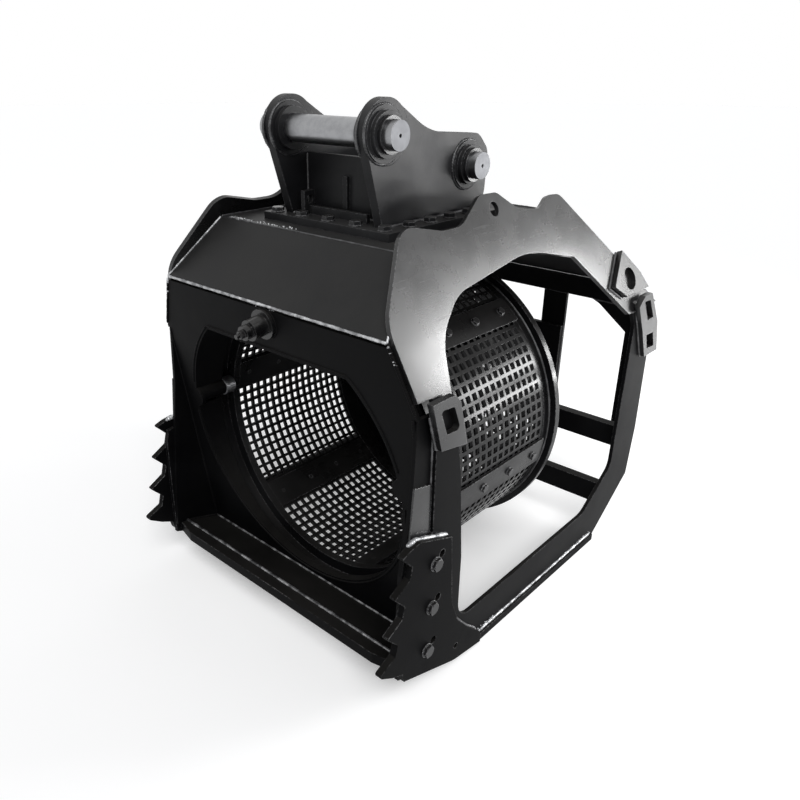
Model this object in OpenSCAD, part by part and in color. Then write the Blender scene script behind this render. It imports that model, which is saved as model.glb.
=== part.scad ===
/* [Overall] */
// Length from the lowest cutter teeth to the rear corner pads
body_depth = 1628; // [1600:1:1720]
// Width over the two lower side frames
frame_w = 1128; // [1128:1:1240]
// Height of the line where the side walls start to lean inwards
lean_z = 935; // [925:1:960]
// Lean of the upper side walls from the vertical
side_lean = 22.5; // [18:0.5:24]

/* [Plates] */
// Thickness of the lower side frames
frame_t = 14; // [10:1:20]
// Thickness of the leaning upper side walls
side_t = 14; // [10:1:18]
// Thickness of the throat liners inside the side frames
liner_t = 12; // [6:1:16]
// Thickness of the hood and the roof
roof_t = 14; // [8:1:18]
// Thickness of the front bulkhead
bulkhead_t = 14; // [8:1:16]
// Lean of the bulkhead, its top edge forward
bulk_lean = 8.4; // [7:0.2:9]
// Thickness of the bolted side cutters
cutter_t = 22; // [16:1:26]
// Thickness of the pads welded on the side walls
pad_t = 20; // [12:1:24]

/* [Hood and lip] */
// Height of the roof's outer face
roof_z = 1300; // [1285:1:1320]
// Distance from the hood's lower edge back to its fold
hood_run = 176; // [150:1:200]
// Height of the hood's lower front edge
hood_z = 1123; // [1110:1:1135]
// Height of the lip's upper face
lip_z = 150; // [140:1:156]
// Depth of the cutting edge bar, front to rear
edge_d = 44; // [30:1:60]
// Thickness of the cutting edge bar
edge_t = 37; // [24:1:40]

/* [Drum] */
// Height of the drum's axis
drum_z = 614; // [608:1:620]
// Inner radius of the screen panels
screen_r = 486; // [470:1:488]
// Thickness of the screen plate
screen_t = 10; // [6:1:12]
// Length of a screen panel
screen_len = 556; // [520:1:560]
// Inner radius of the round mouth
mouth_r = 474; // [466:1:484]
// Wall of the collar behind the mouth
mouth_ring_t = 10; // [6:1:12]
// Height of the mouth's straight top edge
chord_z = 984; // [976:1:990]
// Angle of the first clamping strip
strip_a = 50; // [40:1:60]
// Side of the square screen holes
hole_w = 22; // [16:0.5:23]
// Distance from one row of holes to the next along the drum
hole_pitch = 33; // [31:0.5:40]
// Rows of holes round one panel
hole_rows = 14; // [8:1:14]
// Width of a clamping strip, along the circle
strip_w = 92; // [70:1:100]
// Thickness of a clamping strip
strip_t = 10; // [6:1:12]
// Thickness of the bars inside the drum, behind the strips
bar_t = 8; // [6:1:12]
// Inner radius of the track the guide rollers run on
track_r = 518; // [512:1:520]
// Wall of the drum's front ring
track_t = 12; // [8:1:14]
// Outer radius of the drum's rear rim
rim_r = 522; // [515:1:526]

/* [Guide rollers] */
// Radius of a guide roller
roller_r = 32; // [28:1:34]
// Radius of the guide roller at the top
top_roller_r = 64; // [60:1:66]
// Width of a guide roller
roller_w = 40; // [30:1:46]
// Radius of a roller's axle
axle_r = 14; // [10:1:16]

/* [Drive] */
// Radius of the drum's shaft
shaft_r = 60; // [45:1:70]
// Radius of the bearing housing
housing_r = 158; // [156:1:164]
// Radius of the hydraulic motor
motor_r = 72; // [55:1:80]

/* [Hanger] */
// Radius of the two hanger pins
pin_r = 40; // [35:0.5:45]
// Distance between the pins, front to rear
pin_run = 390; // [380:1:400]
// Height of the front pin above the rear pin
pin_rise = 109; // [95:1:115]
// Height of the rear pin
rear_pin_z = 1466; // [1456:1:1480]
// Clear width between the ears' inner bosses
ear_gap = 300; // [280:1:306]
// Thickness of an ear plate
ear_t = 30; // [24:1:36]
// Depth of a boss ring on each face of an ear
boss_t = 22; // [14:1:24]
// Thickness of the hanger's bolted flange
flange_t = 24; // [18:1:30]
// Half width of the hanger's flange
flange_half = 262; // [262:1:290]

/* [Hidden] */

// Clearances between pieces that fit together
run_gap = 0.05;
side_gap = 1;
turn_gap = 0.3;

black = [0.10, 0.10, 0.11];
dark = [0.16, 0.16, 0.17];
steel = [0.62, 0.62, 0.63];
bolt_grey = [0.30, 0.30, 0.31];

// The side frames stand clear of the drum's widest ring or bolt heads
drum_side_gap = 8;
strip_head = 10;
drum_out = max(track_r + track_t, screen_r + screen_t + strip_t + strip_head, rim_r);
half_w = max(frame_w / 2, drum_out + drum_side_gap + frame_t);
tip_y = -body_depth / 2;
rear_y = body_depth / 2;
// The lowest cutter tooth stands this far ahead of the hood's front edge
tooth_reach = 144;
mouth_y = tip_y + tooth_reach;
lip_y = mouth_y - 33;
fold_y = mouth_y + hood_run;
post_y = rear_y - 27;

// Stations of the drum along its axis
collar_end = mouth_y + 172;
track_y = collar_end + 5;
screen_y = track_y + 68;
screen_end = screen_y + screen_len;
seat_w = 14;
ring_web = 14;
shell_r = screen_r + screen_t;
rim_y = screen_end + 34;
rim_t = 24;
back_t = 8;
back_y = rim_y + rim_t;
panels = 6;
panel_step = 360 / panels;
hole_cols = floor((screen_len - 2 * seat_w) / hole_pitch);
hole_step = (panel_step - 6.2) / hole_rows;
// Angles of the guide rollers, and the circle each one's axle stands on
top_angle = 90;
side_angles = [173, 7];
roller_angles = concat([top_angle], side_angles);
function radius_of(a) = a == top_angle ? top_roller_r : roller_r;
function pitch_of(a) = track_r - radius_of(a) - turn_gap;
seam = 0.3;

// Corner arcs of an outline whose points are [x, y, radius]
function unit(v) = v / norm(v);
function corner_cut(p, q, r) = let (u = unit(p), v = unit(q), h = acos(u * v) / 2) r / tan(h);
function corner_arc(a, b, c, r, n) =
  let (u = unit(a - b), v = unit(c - b), h = acos(u * v) / 2, m = unit(u + v),
    o = b + m * r / sin(h), s = b + u * r / tan(h), e = b + v * r / tan(h),
    a0 = atan2(s[1] - o[1], s[0] - o[0]), d0 = atan2(e[1] - o[1], e[0] - o[0]) - a0,
    d = d0 > 180 ? d0 - 360 : (d0 < -180 ? d0 + 360 : d0))
  [for (i = [0:n]) o + r * [cos(a0 + d * i / n), sin(a0 + d * i / n)]];
function xy(p) = [p[0], p[1]];
function outline(pts, n = 6) = [for (i = [0:len(pts) - 1])
  let (a = xy(pts[(i + len(pts) - 1) % len(pts)]), b = xy(pts[i]),
    c = xy(pts[(i + 1) % len(pts)]), r = pts[i][2])
  each r == 0 ? [b] : corner_arc(a, b, c, r, n)];

// A plate across X, drawn in Y and Z, from x0 to x0 + t
module plate_x(x0, t) {
  translate([x0, 0, 0]) rotate([90, 0, 90]) linear_extrude(t) children();
}
// A plate across Y, drawn in X and Z, from y0 to y0 + t
module plate_y(y0, t) {
  translate([0, y0 + t, 0]) rotate([90, 0, 0]) linear_extrude(t) children();
}
// A rod along Y from y0 to y1
module rod_y(x, z, y0, y1, r) {
  translate([x, y1, z]) rotate([90, 0, 0]) cylinder(r = r, h = y1 - y0, $fn = 64);
}
// A rod along X from x0 to x1
module rod_x(y, z, x0, x1, r) {
  translate([x0, y, z]) rotate([0, 90, 0]) cylinder(r = r, h = x1 - x0, $fn = 64);
}
// A hexagonal head along Z
module hex(w, h) {
  cylinder(d = w / cos(30), h = h, $fn = 6);
}
module both_sides() {
  children();
  mirror([1, 0, 0]) children();
}
// The leaning plane of the right side wall: Y stays, Z runs up the slope from the bend
module on_slope() {
  translate([half_w, 0, lean_z]) rotate([0, -side_lean, 0]) children();
}
// Everything above or below the mitre between a side frame and its leaning wall
module mitre(up) {
  translate([half_w, 0, lean_z]) rotate([0, -side_lean / 2, 0])
    translate([-200, -body_depth, up ? 0 : -600]) cube([400, 2 * body_depth, 600]);
}

// Window of a lower side frame, open at the top
function window_pts() = let (f = mouth_y, r = post_y) [
  [f + 165, lean_z + 30, 0], [f + 220, 712, 120], [f + 252, 400, 60], [f + 253, 152, 70],
  [r - 385, 160, 90], [r - 190, 292, 60], [r - 176, 880, 70], [r - 235, lean_z + 30, 0]];
function frame_pts() = let (f = mouth_y, r = post_y) [
  [f + 91, lean_z + 30, 0], [f + 100, 840, 60], [f + 102, 560, 0], [f - 20, 540, 0],
  [f - 30, 480, 0], [lip_y, 112, 0], [f + 215, 20, 160],
  [f + 370, 0, 160], [r - 283, 0, 0], [r - 20, 192, 0], [r, 400, 60], [r - 12, 790, 60],
  [r - 80, lean_z + 30, 0]];
module side_frame() {
  difference() {
    plate_x(half_w - frame_t, frame_t) difference() {
      polygon(outline(frame_pts()));
      polygon(outline(window_pts(), 8));
    }
    mitre(true);
    for (p = cutter_hole_spots()) rod_x(p[0], p[1], 0, half_w + 1, cutter_bolt_r);
  }
}
module side_frame_right() { color(black) side_frame(); }
module side_frame_left() { color(black) mirror([1, 0, 0]) side_frame(); }

// Upper side wall: a crescent round the drum with a lifting eye on its back
eye_y = mouth_y + 565;
eye_s = 466;
eye_r = 22;
function wall_pts() = let (f = mouth_y, e = eye_y) [
  [f + 91, -20, 0], [f + 91, 38, 0], [f + 34, 40, 0], [f + 4, 250, 130], [f + 150, 476, 70], [f + 310, 440, 110],
  [e - 170, 440, 90], [e - 52, 514, 46], [e + 30, 512, 46], [e + 120, 452, 110],
  [e + 235, 436, 80], [e + 300, 472, 60], [e + 372, 468, 60], [e + 755, 116, 0],
  [e + 812, 66, 0], [e + 900, -20, 0]];
function crescent_pts() = let (f = mouth_y) [
  [f + 159, -30, 0], [f + 195, 175, 160], [f + 300, 268, 150], [f + 680, 322, 420],
  [f + 938, 260, 0], [f + 1248, -30, 0]];
module side_wall() {
  difference() {
    on_slope() difference() {
      plate_x(-side_t, side_t) difference() {
        polygon(outline(wall_pts(), 8));
        polygon(outline(crescent_pts(), 8));
      }
      rod_x(eye_y, eye_s, -side_t - 1, 1, eye_r);
    }
    mitre(false);
  }
}
module side_wall_right() { color(dark) side_wall(); }
module side_wall_left() { color(dark) mirror([1, 0, 0]) side_wall(); }

// Liners inside the side frames close the throat ahead of the bulkhead
liner_x = half_w - frame_t;
liner_top = lean_z - 10;
function liner_pts() = let (f = mouth_y) [
  [f + 34, liner_top, 0], [f + 24, 720, 60], [f + 5, 572, 60], [f - 26, 280, 60],
  [lip_y, lip_z, 0], [f + 160, lip_z - 60, 0], [f + 160, 400, 60], [f + 112, 560, 60],
  [f + 112, liner_top, 0]];
module throat_liners() {
  color(black) both_sides() difference() {
    plate_x(liner_x - liner_t, liner_t) polygon(outline(liner_pts()));
    below_lip(0);
  }
}

// Pads on the front pillars, each with a slanting window
module front_pads() {
  f = mouth_y;
  color(dark) both_sides() plate_x(half_w, pad_t) difference() {
    polygon([[f + 50, 973], [f + 142, 973], [f + 170, 947], [f + 212, 806], [f + 96, 826]]);
    polygon(outline([[f + 84, 946, 8], [f + 143, 940, 12], [f + 176, 864, 12], [f + 116, 868, 8]]));
  }
  color(dark) both_sides() plate_x(liner_x, 6) polygon([[f + 24, 732], [f + 99, 714],
    [f + 100, 562], [f + 8, 562]]);
}
// Pads over the rear top corners, bent along the side wall
corner_hole_r = 40;
module corner_pads() {
  e = eye_y + 10;
  r = post_y;
  color(dark) both_sides() {
    on_slope() difference() {
      plate_x(0, pad_t)
        polygon([[e + 551, 114], [e + 658, 226], [e + 759, 128], [e + 797, 66], [e + 619, 66]]);
      rod_x(e + 668, 122, -1, pad_t + 1, corner_hole_r);
    }
    plate_x(half_w, pad_t) difference() {
      polygon([[r - 205, 955], [r - 170, 990], [r - 108, 990], [r - 14, 860], [r + 27, 735],
        [r - 86, 735], [r - 145, 855]]);
      polygon([[r - 165, 968], [r - 118, 966], [r - 62, 888], [r - 112, 886]]);
      polygon([[r - 100, 826], [r - 40, 822], [r - 13, 762], [r - 75, 766]]);
    }
  }
}
// Wearing strips welded along the bottom edges of the side frames
skid_t = 12;
skid_h = 26;
module skid_strips() {
  y0 = mouth_y + 370;
  color(dark) both_sides() translate([half_w, y0, 0]) cube([skid_t, post_y - 290 - y0, skid_h]);
}

// Half width between the leaning walls at height z, with a small seam
function wall_half(z) = half_w - (z - lean_z) * tan(side_lean) - side_t / cos(side_lean) - seam;
hood_a = atan2(roof_z - hood_z, hood_run);
hood_len = norm([roof_z - hood_z, hood_run]);
module hood_panel() {
  color(dark) intersection() {
    translate([0, mouth_y, hood_z]) rotate([hood_a, 0, 0])
      translate([-half_w, 0, -roof_t]) cube([2 * half_w, hood_len, roof_t]);
    between_walls();
    plate_x(-half_w, 2 * half_w)
      polygon([[mouth_y - 60, hood_z - 60], [fold_y - seam, hood_z - 60], [fold_y - seam, roof_z + 5],
        [mouth_y - 60, roof_z + 5]]);
  }
}
// Everything above a plane parallel to the hood, d above its outer face
module above_hood(d) {
  translate([0, mouth_y, hood_z]) rotate([hood_a, 0, 0])
    translate([-half_w, -hood_len, d]) cube([2 * half_w, 3 * hood_len, 400]);
}
// The space between the two side walls, at and above the bend and below it
module between_walls() {
  z0 = lean_z + (frame_t - side_t / cos(side_lean)) / tan(side_lean);
  w0 = half_w - frame_t - seam;
  w1 = wall_half(roof_z + 60);
  plate_y(-body_depth, 2 * body_depth) polygon([[-w0, 0], [w0, 0], [w0, z0],
    [w1, roof_z + 60], [-w1, roof_z + 60], [-w0, z0]]);
}
// The space between the throat liners, and all of the space above them
module between_liners() {
  w = liner_x - liner_t - seam;
  plate_y(-body_depth, 2 * body_depth) polygon([[-w, 0], [w, 0], [w, liner_top + seam],
    [half_w, liner_top + seam], [half_w, 2 * lean_z], [-half_w, 2 * lean_z],
    [-half_w, liner_top + seam], [-w, liner_top + seam]]);
}
// Roof: a flat plate, then a slope down to the rear along the side walls
slope_a = 40.3;
slope_run = 320;
slope_end = post_y - 137;
knee_y = slope_end - slope_run;
function slope_z(y) = roof_z - (y - knee_y) * tan(slope_a);
module roof_plate() {
  color(dark) intersection() {
    translate([-half_w, fold_y, roof_z - roof_t]) cube([2 * half_w, knee_y - seam - fold_y, roof_t]);
    between_walls();
  }
}
module rear_roof() {
  d = roof_t / cos(slope_a);
  color(dark) intersection() {
    plate_x(-half_w, 2 * half_w) polygon([[knee_y, roof_z], [slope_end, slope_z(slope_end)],
      [slope_end, slope_z(slope_end) - d], [knee_y, roof_z - d]]);
    between_walls();
  }
}

// Leaning plane of the bulkhead's front face: Z runs up the plate, Y behind it
module on_bulkhead() {
  translate([0, mouth_y, hood_z]) rotate([bulk_lean, 0, 0]) children();
}
// Everything ahead of a plane d behind the bulkhead's face
module ahead_of_bulkhead(d) {
  on_bulkhead() translate([-half_w - 50, d - 900, -1300]) cube([2 * half_w + 100, 900, 1500]);
}
// The lip's upper face falls to the rear; everything below it, d lower
lip_fall = 0.309;
module below_lip(d) {
  y0 = lip_y + edge_d;
  plate_x(-half_w - 50, 2 * half_w + 100) polygon([[y0 - 200, lip_z - d], [y0, lip_z - d],
    [y0 + 400, lip_z - d - 400 * lip_fall], [y0 + 400, -400], [y0 - 200, -400]]);
}
// Everything above the mouth's straight top edge, d higher
module above_chord(d) {
  translate([-half_w, -body_depth, chord_z + d]) cube([2 * half_w, 2 * body_depth, 600]);
}
// Bulkhead with the flat-topped round mouth, and a lug for each side roller's axle
lug_r = 40;
module side_lugs(y0, y1) {
  for (a = side_angles) {
    roller_at(a) rod_y(0, 0, y0, y1, lug_r);
    turned(a) translate([pitch_of(a), y0, -lug_r])
      cube([mouth_r + mouth_ring_t, y1 - y0, 2 * lug_r]);
  }
}
module front_bulkhead() {
  color(black) difference() {
    intersection() {
      on_bulkhead() translate([-half_w, 0, -1200]) cube([2 * half_w, bulkhead_t, 1200 - roof_t]);
      between_walls();
      between_liners();
    }
    difference() {
      rod_y(0, drum_z, mouth_y - 200, 0, mouth_r + mouth_ring_t);
      above_chord(0);
      side_lugs(mouth_y - 210, 10);
    }
    below_lip(-seam);
  }
}
module mouth_ring() {
  color(dark) difference() {
    rod_y(0, drum_z, mouth_y - 50, collar_end, mouth_r + mouth_ring_t);
    difference() {
      rod_y(0, drum_z, mouth_y - 51, collar_end + 1, mouth_r);
      above_chord(-mouth_ring_t);
    }
    above_chord(0);
    ahead_of_bulkhead(0);
    side_lugs(mouth_y - 60, 0);
  }
}

// Lip: a sloping floor behind the cutting edge and a belly plate under it
floor_t = 14;
lip_end = mouth_y + 163;
module lip_plate() {
  w = half_w - frame_t - seam;
  y0 = lip_y + edge_d;
  drop = (lip_end - y0) * lip_fall;
  color(dark) plate_x(-w, 2 * w) polygon([[y0, lip_z], [lip_end, lip_z - drop],
    [lip_end, lip_z - drop - floor_t], [y0, lip_z - floor_t]]);
}
module belly_plate() {
  w = half_w - frame_t - seam;
  y0 = lip_y + edge_d;
  color(black) plate_x(-w, 2 * w) polygon([[y0, lip_z - edge_t + 6], [y0 + 130, 70],
    [y0 + 130, 57], [y0, lip_z - edge_t - 8]]);
}
edge_clip = 90;
module cutting_edge() {
  w = half_w - frame_t;
  color(dark) translate([0, 0, lip_z - edge_t]) linear_extrude(edge_t)
    polygon([[-w, lip_y + edge_d], [-w, lip_y + 20], [-w + edge_clip, lip_y],
      [w - edge_clip, lip_y], [w, lip_y + 20], [w, lip_y + edge_d]]);
}

// Side cutters: serrated plates bolted outside the front of the side frames
cutter_bolt_r = 12;
tooth_pitch = 118;
tooth_lean = 27;
function cutter_hole_spots() = let (f = mouth_y)
  [[f + 92, 472], [f + 82, 324], [f + 70, 172]];
function tooth(k) = let (y = tip_y + 8 + (3 - k) * tooth_lean, z = 208 + (3 - k) * tooth_pitch)
  [[y, z, 5], [y + 44, z - 46, 0], [y + 34, z - 84, 6]];
function cutter_pts() = let (f = mouth_y) concat(
  [[f + 165, 526, 0], [f + 20, 580, 16], [f - 20, 574, 10]],
  tooth(0), tooth(1), tooth(2),
  [[tip_y, 212, 9], [tip_y + 60, 174, 40], [tip_y + 104, 154, 0], [tip_y + 112, 122, 0],
    [f + 215, 32, 160], [f + 364, 10, 0], [f + 364, 44, 0], [f + 350, 64, 10],
    [f + 286, 120, 60], [f + 222, 192, 60], [f + 186, 280, 60]]);
module side_cutter() {
  difference() {
    plate_x(half_w, cutter_t) polygon(outline(cutter_pts(), 5));
    for (p = cutter_hole_spots()) {
      rod_x(p[0], p[1], half_w - 1, half_w + cutter_t + 1, cutter_bolt_r);
      rod_x(p[0] + 30, p[1] + 20, half_w - 1, half_w + cutter_t + 1, 13);
    }
    rod_x(mouth_y + 222, 87, half_w - 1, half_w + cutter_t + 1, 10);
  }
}
module side_cutter_right() { color(black) side_cutter(); }
module side_cutter_left() { color(black) mirror([1, 0, 0]) side_cutter(); }
module cutter_bolts() {
  color(bolt_grey) both_sides() for (p = cutter_hole_spots()) translate([0, p[0], p[1]]) {
    rod_x(0, 0, half_w - frame_t, half_w + cutter_t + 1, cutter_bolt_r);
    translate([half_w + cutter_t, 0, 0]) rotate([0, 90, 0]) hex(36, 14);
  }
}

// Rear frame: a beam under the roof's rear edge, gussets and two cross beams
beam_low = lean_z + 3;
beam_y = slope_end - 20;
module rear_top_beam() {
  top = slope_z(slope_end) - roof_t / cos(slope_a) - seam;
  w1 = wall_half(beam_low + seam);
  w2 = wall_half(top);
  color(black) plate_y(beam_y, 20)
    polygon([[-w1, beam_low], [w1, beam_low], [w2, top], [-w2, top]]);
}
gusset_t = 16;
module rear_gussets() {
  x0 = half_w - frame_t - seam;
  color(black) both_sides() plate_y(beam_y, gusset_t)
    polygon([[x0 - 170, beam_low - seam], [x0 - 8, beam_low - seam], [x0 - 1, lean_z - 14],
      [x0, lean_z - 30], [x0, 470], [x0 - 26, 470], [x0 - 26, beam_low - 100], [x0 - 140, beam_low - 14]]);
}
// Rolled channel across the frame: web forward, flanges to the rear
channel_h = 86;
channel_d = 38;
channel_t = 7;
module channel(y, z) {
  w = half_w - frame_t - seam;
  plate_x(-w, 2 * w) translate([y, z]) difference() {
    square([channel_d, channel_h]);
    translate([channel_t, channel_t]) square([channel_d, channel_h - 2 * channel_t]);
  }
}
upper_beam_y = post_y - 150;
upper_beam_z = 362;
lower_beam_y = post_y - 250;
lower_beam_z = 146;
module upper_cross_beam() { color(black) channel(upper_beam_y, upper_beam_z); }
module lower_cross_beam() { color(black) channel(lower_beam_y, lower_beam_z); }

// Drive: two posts and a plate hold the shaft's bearings and the motor
plate_yy = post_y - 170;
plate_t = 20;
post_x = 170;
post_w = 100;
motor_plate_low = drum_z - 190;
module motor_posts() {
  color(black) both_sides() translate([post_x, plate_yy + plate_t, upper_beam_z + channel_h])
    cube([post_w, beam_y + 20 - plate_yy - plate_t, beam_low - seam - upper_beam_z - channel_h]);
}
module motor_plate() {
  color(black) difference() {
    translate([-post_x - post_w, plate_yy, motor_plate_low])
      cube([2 * (post_x + post_w), plate_t, 2 * (drum_z - motor_plate_low)]);
    rod_y(0, drum_z, plate_yy - 1, plate_yy + plate_t + 1, shaft_r + 12);
    for (a = [45:90:315]) turned(a) rod_y(housing_bolt_r, 0, plate_yy - 1, plate_yy + plate_t + 1, 11);
  }
}
housing_bolt_r = 140;
housing_len = 150;
housing_y = plate_yy - housing_len;
bearing_w = 45;
bearing_r = 105;
// Turns its children round the drum's axis
module turned(a) {
  translate([0, 0, drum_z]) rotate([0, -a, 0]) children();
}
module bearing_housing() {
  color(dark) difference() {
    union() {
      rod_y(0, drum_z, housing_y, plate_yy, bearing_r + 18);
      rod_y(0, drum_z, plate_yy - 24, plate_yy, housing_r);
    }
    rod_y(0, drum_z, housing_y - 1, plate_yy + 1, bearing_r);
    for (a = [45:90:315]) turned(a) rod_y(housing_bolt_r, 0, plate_yy - 25, plate_yy + 1, 11);
  }
}
module shaft_bearings() {
  color(steel) for (y = [housing_y + 6, plate_yy - bearing_w - 6]) difference() {
    rod_y(0, drum_z, y, y + bearing_w, bearing_r);
    rod_y(0, drum_z, y - 1, y + bearing_w + 1, shaft_r + run_gap);
  }
}
motor_y = plate_yy + plate_t;
motor_len = 150;
module drive_motor() {
  color(dark) difference() {
    union() {
      translate([-82, motor_y, drum_z - 82]) cube([164, 22, 164]);
      rod_y(0, drum_z, motor_y + 22, motor_y + motor_len, motor_r);
      translate([-34, motor_y + 60, drum_z + motor_r - 14]) cube([68, 60, 30]);
    }
    for (a = [45:90:315]) turned(a) rod_y(96, 0, motor_y - 1, motor_y + 23, 8);
    rod_y(0, drum_z, motor_y - 1, motor_y + 12, shaft_r - 20);
  }
}
module motor_fittings() {
  color(bolt_grey) for (x = [-17, 17])
    translate([x, motor_y + 90, drum_z + motor_r + 16]) {
      hex(26, 12);
      cylinder(r = 9, h = 30, $fn = 32);
    }
  color(bolt_grey) for (a = [45:90:315]) {
    turned(a) translate([housing_bolt_r, plate_yy - 24, 0]) rotate([90, 0, 0]) hex(30, 13);
    turned(a) rod_y(housing_bolt_r, 0, plate_yy - 24, plate_yy + plate_t, 10);
    turned(a) translate([96, motor_y + 22, 0]) rotate([-90, 0, 0]) hex(22, 10);
    turned(a) rod_y(96, 0, motor_y, motor_y + 22, 7.5);
  }
}

// Guide rollers run inside the drum's front ring, on axles behind the bulkhead
module roller_at(a) {
  translate([pitch_of(a) * cos(a), 0, drum_z + pitch_of(a) * sin(a)]) children();
}
roller_y = track_y + 6;
boss_r = 28;
axle_head_t = 6;
function plate_back(a) = mouth_y + (hood_z - drum_z - pitch_of(a) * sin(a)) * tan(bulk_lean)
  + bulkhead_t / cos(bulk_lean);
module roller_bosses() {
  color(dark) for (a = roller_angles) difference() {
    roller_at(a) rod_y(0, 0, plate_back(a) - 40, roller_y - side_gap, boss_r);
    ahead_of_bulkhead(bulkhead_t);
    above_hood(-roof_t - side_gap);
    roller_at(a) rod_y(0, 0, plate_back(a) - 60, roller_y, axle_r);
  }
}
module roller_axles() {
  color(bolt_grey) for (a = roller_angles) roller_at(a) {
    rod_y(0, 0, plate_back(a) + 6, roller_y + roller_w + side_gap, axle_r);
    rod_y(0, 0, roller_y + roller_w + side_gap, roller_y + roller_w + side_gap + axle_head_t, axle_r + 7);
  }
}
// Stepped cap over the top roller's axle, square to the bulkhead's face
cap_r = 46;
cap_body = 62;
cap_neck = 84;
module axle_caps() {
  up = (drum_z + pitch_of(top_angle) - hood_z) / cos(bulk_lean);
  color(bolt_grey) on_bulkhead() translate([0, 0, up]) rotate([90, 0, 0]) {
    cylinder(r = cap_r, h = 14, $fn = 64);
    cylinder(r = 32, h = cap_body, $fn = 64);
    cylinder(r = 22, h = cap_neck, $fn = 64);
    translate([0, 0, cap_neck]) hex(22, 14);
    cylinder(r = 7, h = cap_neck + 26, $fn = 32);
  }
}
module guide_roller(i) {
  color(steel) roller_at(roller_angles[i]) difference() {
    rod_y(0, 0, roller_y, roller_y + roller_w, radius_of(roller_angles[i]));
    rod_y(0, 0, roller_y - 1, roller_y + roller_w + 1, axle_r + run_gap);
  }
}
module guide_roller_1() { guide_roller(0); }
module guide_roller_2() { guide_roller(1); }
module guide_roller_3() { guide_roller(2); }

// Drum: rings turned about the drum's axis, each from rectangles [r0, r1, y0, y1]
module drum_ring(bars) {
  translate([0, 0, drum_z]) rotate([-90, 0, 0]) rotate_extrude($fn = 128)
    for (b = bars) translate([b[0], b[2]]) square([b[1] - b[0], b[3] - b[2]]);
}
seat_r = screen_r - bar_t;
module drum_front_ring() {
  web_y0 = screen_y - ring_web;
  color(dark) drum_ring([[track_r, track_r + track_t, track_y, screen_y],
    [min(track_r, seat_r), max(track_r + track_t, screen_r), web_y0, screen_y],
    [seat_r, screen_r, web_y0, screen_y + seat_w]]);
}
module drum_rear_ring() {
  color(dark) drum_ring([[seat_r, screen_r, screen_end - seat_w, back_y],
    [seat_r, shell_r, screen_end, back_y], [seat_r, max(rim_r, shell_r), rim_y, back_y]]);
}
hub_r = 110;
mesh_in = 190;
mesh_out = 462;
mesh_n = floor(mesh_out / hole_pitch);
module drum_back() {
  color(black) plate_y(back_y, back_t) translate([0, drum_z]) difference() {
    circle(r = shell_r, $fn = 128);
    for (i = [-mesh_n:mesh_n], j = [-mesh_n:mesh_n]) {
      d = norm([abs(i) + 0.4, abs(j) + 0.4]) * hole_pitch;
      if (d < mesh_out && norm([i, j]) * hole_pitch > mesh_in + hole_w)
        translate([i * hole_pitch - hole_w / 2, j * hole_pitch - hole_w / 2]) square([hole_w, hole_w]);
    }
  }
}
module drum_hub() {
  color(dark) union() {
    rod_y(0, drum_z, back_y + back_t, back_y + back_t + 20, hub_r + 50);
    rod_y(0, drum_z, back_y + back_t, housing_y - 14, hub_r);
    rod_y(0, drum_z, housing_y - 14, plate_yy - 4, shaft_r);
  }
}
// A sector of a ring, drawn in X and Z round the drum's axis
module sector(r0, r1, a0, a1) {
  translate([0, drum_z]) intersection() {
    difference() {
      circle(r = r1, $fn = 128);
      circle(r = r0, $fn = 128);
    }
    polygon(concat([[0, 0]], [for (i = [0:4]) let (a = a0 + (a1 - a0) * i / 4)
      1.3 * r1 * [cos(a), sin(a)]]));
  }
}
bar_w = 108;
bar_half = bar_w / screen_r * 90 / PI;
strip_half = strip_w / shell_r * 90 / PI;
bolt_r = 8;
joint_half = (bolt_r + side_gap) / screen_r * 180 / PI;
module drum_bars() {
  color(dark) difference() {
    for (i = [0:panels - 1])
      plate_y(screen_y + seat_w, screen_len - 2 * seat_w)
        sector(screen_r - bar_t, screen_r, strip_a + i * panel_step - bar_half,
          strip_a + i * panel_step + bar_half);
    strip_drills(bolt_r);
  }
}
bolt_rows = 4;
bolt_step = 145.3;
function bolt_y(j) = screen_end - 60 - (bolt_rows - 1 - j) * bolt_step;
module strip_drills(r) {
  for (i = [0:panels - 1], j = [0:bolt_rows - 1]) turned(strip_a + i * panel_step)
    rod_x(bolt_y(j), 0, screen_r - 60, shell_r + 60, r);
}
module panel_strips() {
  color(dark) difference() {
    for (i = [0:panels - 1]) plate_y(screen_y, screen_len)
      sector(shell_r, shell_r + strip_t, strip_a + i * panel_step - strip_half,
        strip_a + i * panel_step + strip_half);
    strip_drills(bolt_r);
  }
}
module strip_bolts() {
  color(bolt_grey) for (i = [0:panels - 1], j = [0:bolt_rows - 1])
    turned(strip_a + i * panel_step) {
      rod_x(bolt_y(j), 0, screen_r - bar_t, shell_r + strip_t, bolt_r);
      translate([shell_r + strip_t, bolt_y(j), 0]) rotate([0, 90, 0]) hex(24, strip_head);
    }
}
// One perforated panel: rows of square holes between plain margins
module screen_panel(i) {
  a0 = strip_a + i * panel_step;
  first = screen_y + (screen_len - hole_cols * hole_pitch) / 2 + (hole_pitch - hole_w) / 2;
  color(steel) difference() {
    plate_y(screen_y, screen_len)
      sector(screen_r, shell_r, a0 + joint_half, a0 + panel_step - joint_half);
    for (c = [0:hole_cols - 1]) plate_y(first + c * hole_pitch, hole_w)
      translate([0, drum_z]) for (r = [0:hole_rows - 1])
        rotate(a0 + 3.1 + (r + 0.5) * hole_step)
          translate([screen_r - 12, -hole_w / 2]) square([screen_t + 24, hole_w]);
  }
}
module screen_panel_1() { screen_panel(0); }
module screen_panel_2() { screen_panel(1); }
module screen_panel_3() { screen_panel(2); }
module screen_panel_4() { screen_panel(3); }
module screen_panel_5() { screen_panel(4); }
module screen_panel_6() { screen_panel(5); }

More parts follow.
